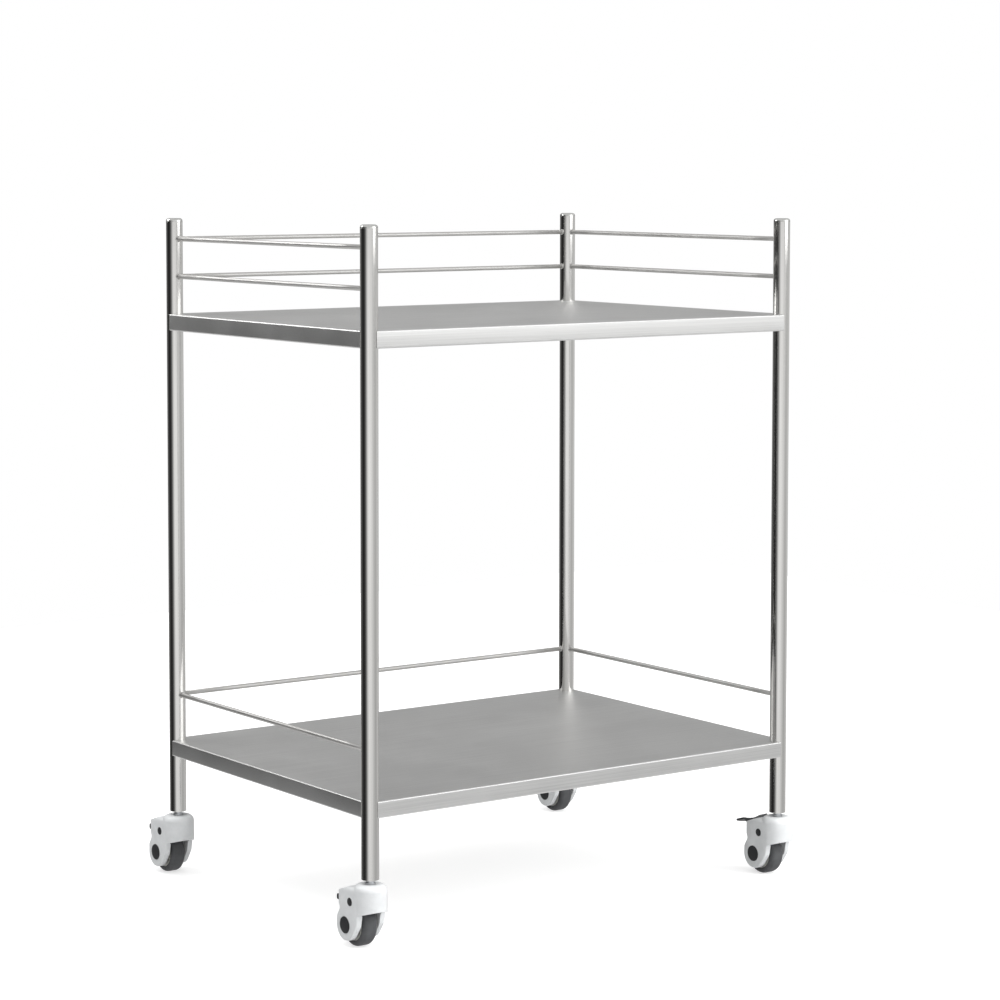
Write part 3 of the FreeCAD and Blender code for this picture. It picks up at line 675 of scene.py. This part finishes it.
@dataclass
class SwivelCaster:
    """One caster: housing, bearing, wheel, and a brake pedal or a plug."""

    shop: FinishShop
    side: Side
    end: End

    @property
    def place(self) -> str:
        """Its corner's name."""
        return f"{self.end.name.lower()}_{self.side.name.lower()}"

    @property
    def stop(self) -> Stop:
        """The right-hand pair has the brakes."""
        return Stop.PEDAL if self.side is Side.RIGHT else Stop.PLUG

    def build(self) -> None:
        """Builds every piece of the caster."""
        swivel, wheel = f"caster_{self.place}", f"wheel_{self.place}"
        stop_body = f"brake_{self.place}" if self.stop is Stop.PEDAL else swivel
        # Node, finish, body, and the width of its rounded edges.
        pieces = [
            ("housing", WHITE_ABS, swivel, 0.0005),
            ("swivel_bearing", ZINC_PLATE, swivel, 0.0),
            ("axle", ZINC_PLATE, swivel, 0.0002),
            ("hub_caps", BLACK_PLASTIC, swivel, 0.0),
            ("pivot_pin", BLACK_PLASTIC, swivel, 0.0003),
            ("tyre", GREY_RUBBER, wheel, 0.0),
            ("wheel_core", WHITE_NYLON, wheel, 0.0003),
            ("wheel_bush", WHITE_NYLON, wheel, 0.0),
            (self.stop.value, BLACK_PLASTIC, stop_body, 0.0004),
        ]
        for part, finish, body, bevel in pieces:
            piece = smooth_copy(f"moulded_{part}_{self.place}", f"{part}_{self.place}", bevel=bevel)
            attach(self.shop.dress(piece, finish), body)
        LOG.info("caster %s built", self.place)


# ---------------------------------------------------------------------------------------------
# The studio
# ---------------------------------------------------------------------------------------------


@dataclass
class Studio:
    """A white floor and surround, soft lamps, and the camera that takes the picture.

    Greys are how bright a thing looks to the object; to the camera the studio is white. turn and
    tilt are in degrees: to the right of +Y when negative, and down from level.
    """

    floor_half: float = 2.2
    floor_grey: float = 1.0
    ceiling_grey: float = 0.75
    paper_glow: float = 0.62
    camera_place: tuple[float, float, float] = (-2.23644, -3.16319, 0.93871)
    turn: float = -35.06
    tilt: float = 4.12
    lens: float = 107.227
    shift: tuple[float, float] = (0.04109, -0.12667)

    def build_floor(self) -> None:
        """A pale floor that shows white to the camera and keeps the shadow."""
        t = np.linspace(-self.floor_half, self.floor_half, 5)
        x, y = np.meshgrid(t, t, indexing="xy")
        floor = grid_object("floor", np.stack([x, y, 0 * x], axis=-1))
        made = bpy.data.materials.new("white paper floor")
        made.use_nodes = True
        tree = Tree(made.node_tree)
        paper = tree.add("ShaderNodeBsdfDiffuse", Color=linear("#CFCFCF"))
        strength = tree.add("ShaderNodeMath", {"operation": "MULTIPLY"}, s0=tree.seen(),
                            s1=self.paper_glow).outputs["Value"]
        glow = tree.add("ShaderNodeEmission", Color=linear("#FFFFFF"), Strength=strength)
        both = tree.add("ShaderNodeAddShader", s0=paper.outputs[0], s1=glow.outputs[0])
        tree.add("ShaderNodeOutputMaterial", Surface=both.outputs["Shader"])
        floor.data.materials.append(made)
        floor.visible_glossy = False

    def build_surround(self) -> None:
        """A studio that is white to the camera.

        To the object it is bright in front, dark to the rear left and grey behind.
        """
        world = bpy.data.worlds.new("studio surround")
        bpy.context.scene.world = world
        world.use_nodes = True
        tree = Tree(world.node_tree)
        ray = tree.add("ShaderNodeTexCoord").outputs["Generated"]
        parts = tree.add("ShaderNodeSeparateXYZ", Vector=ray).outputs
        turn = tree.add("ShaderNodeMath", {"operation": "ARCTAN2"}, s0=parts["Y"],
                        s1=parts["X"]).outputs["Value"]
        angle = tree.add("ShaderNodeMapRange", Value=turn, From_Min=-math.pi,
                         From_Max=math.pi).outputs["Result"]
        rise = tree.add("ShaderNodeMapRange", Value=parts["Z"], From_Min=-1.0,
                        From_Max=1.0).outputs["Result"]

        # How bright the studio is at eye level, all the way round, and how far up and down that
        # holds: rise is 0 straight down, 0.5 level and 1 straight up.
        level_stops = bearings([
            (-180, 0.08), (-170, 0.18), (-158, 0.43), (-146, 0.80), (-134, 0.96), (-111, 0.93),
            (-88, 0.78), (-63, 0.58), (-45, 0.51), (-17, 0.61), (10, 0.74), (25, 0.45), (60, 0.28),
            (93, 0.19), (108, 0.15), (122, 0.08), (147, 0.02), (160, 0.02), (168, 0.035),
            (176, 0.055),
        ])
        held_stops = [
            (0.20, 0.0), (0.30, 0.2), (0.37, 0.82), (0.45, 1.0), (0.48, 0.95), (0.53, 0.45),
            (0.59, 1.0), (0.66, 1.0), (0.78, 0.0),
        ]
        # Away from eye level, the ceiling and the paper floor take over evenly all round.
        plain_stops = [
            (0.20, self.floor_grey), (0.30, 0.8), (0.37, 0.0), (0.64, 0.0),
            (0.78, self.ceiling_grey),
        ]
        # A white card stands in front, over eye level; the upright tubes never mirror it.
        card_stops = bearings([(-120, 0.0), (-80, 0.6), (-35, 0.6), (0, 0.0)])
        raised_stops = [(0.48, 0.0), (0.53, 1.0), (0.66, 1.0), (0.76, 0.0)]
        level, held, plain, card, raised = (
            tree.add("ShaderNodeValToRGB", {"stops": stops}, Fac=along).outputs["Color"]
            for stops, along in ((level_stops, angle), (held_stops, rise), (plain_stops, rise),
                                 (card_stops, angle), (raised_stops, rise))
        )

        mixing = {"data_type": "RGBA", "blend_type": "MULTIPLY"}
        wall = tree.add("ShaderNodeMix", mixing, s0=1.0, s6=level, s7=held).outputs[2]
        board = tree.add("ShaderNodeMix", mixing, s0=1.0, s6=card, s7=raised).outputs[2]
        mixing["blend_type"] = "ADD"
        room = tree.add("ShaderNodeMix", mixing, s0=1.0, s6=wall, s7=plain).outputs[2]
        mirrored = tree.add("ShaderNodeMix", mixing, s0=1.0, s6=room, s7=board).outputs[2]
        shown = tree.add("ShaderNodeMix", {"data_type": "RGBA"}, s0=tree.seen(), s6=mirrored,
                         s7=linear("#FFFFFF"))
        backdrop = tree.add("ShaderNodeBackground", Color=shown.outputs[2])
        tree.add("ShaderNodeOutputWorld", Surface=backdrop.outputs["Background"])

    def build_lamp(self, name: str, place: Sequence[float], aim: Sequence[float], size: float,
                   watts: float, mirrored: bool = True) -> None:
        """Adds one soft square lamp.

        Args:
            name: The lamp's name.
            place: Where it stands.
            aim: The point it faces.
            size: Its side.
            watts: Its power.
            mirrored: Whether shiny surfaces show the lamp itself.
        """
        light = bpy.data.lights.new(name, "AREA")
        light.size = size
        light.energy = watts
        lamp = bpy.data.objects.new(name, light)
        lamp.visible_camera = False
        lamp.visible_glossy = mirrored
        bpy.context.scene.collection.objects.link(lamp)
        lamp.location = place
        way = np.array(aim, float) - np.array(place, float)
        across = math.hypot(way[0], way[1])
        lamp.rotation_euler = (math.atan2(across, -way[2]), 0.0, math.atan2(-way[0], way[1]))

    def build_camera(self) -> None:
        """A long lens a little above the posts' tops, tilted slightly down and shifted."""
        lens = bpy.data.cameras.new("camera")
        lens.sensor_width = 36.0
        lens.lens = self.lens
        lens.shift_x, lens.shift_y = self.shift
        lens.clip_end = 100.0
        camera = bpy.data.objects.new("camera", lens)
        bpy.context.scene.collection.objects.link(camera)
        camera.location = self.camera_place
        camera.rotation_euler = (math.radians(90 - self.tilt), 0.0, math.radians(self.turn))
        bpy.context.scene.camera = camera

    def build(self) -> None:
        """Builds the whole studio."""
        bpy.context.scene.view_settings.view_transform = "Standard"
        self.build_floor()
        self.build_surround()
        middle = (0, 0, 0.4)
        self.build_lamp("overhead softbox", (-0.4, -0.6, 3.2), middle, 3.2, 56.0, mirrored=False)
        self.build_lamp("front softbox", (1.5, -2.4, 1.75), middle, 2.2, 40.0, mirrored=False)
        self.build_lamp("front card", (1.5, -2.35, 1.7), middle, 2.1, 24.0)
        self.build_lamp("rear fill", (-1.0, 1.1, 1.5), (-0.33, 0.1, 0.5), 0.7, 9.0)
        self.build_camera()
        LOG.info("studio built")


def main() -> None:
    """Builds the trolley's sub-assemblies and the studio, in order."""
    logging.basicConfig(level=logging.INFO, format="%(name)s: %(message)s")
    shop = FinishShop()
    TubeFrame(shop).build()
    for name in ("upper", "lower"):
        SheetShelf(shop, name).build()
    for side in Side:
        for end in End:
            SwivelCaster(shop, side, end).build()
    Studio().build()


if __name__ == "__main__":
    main()
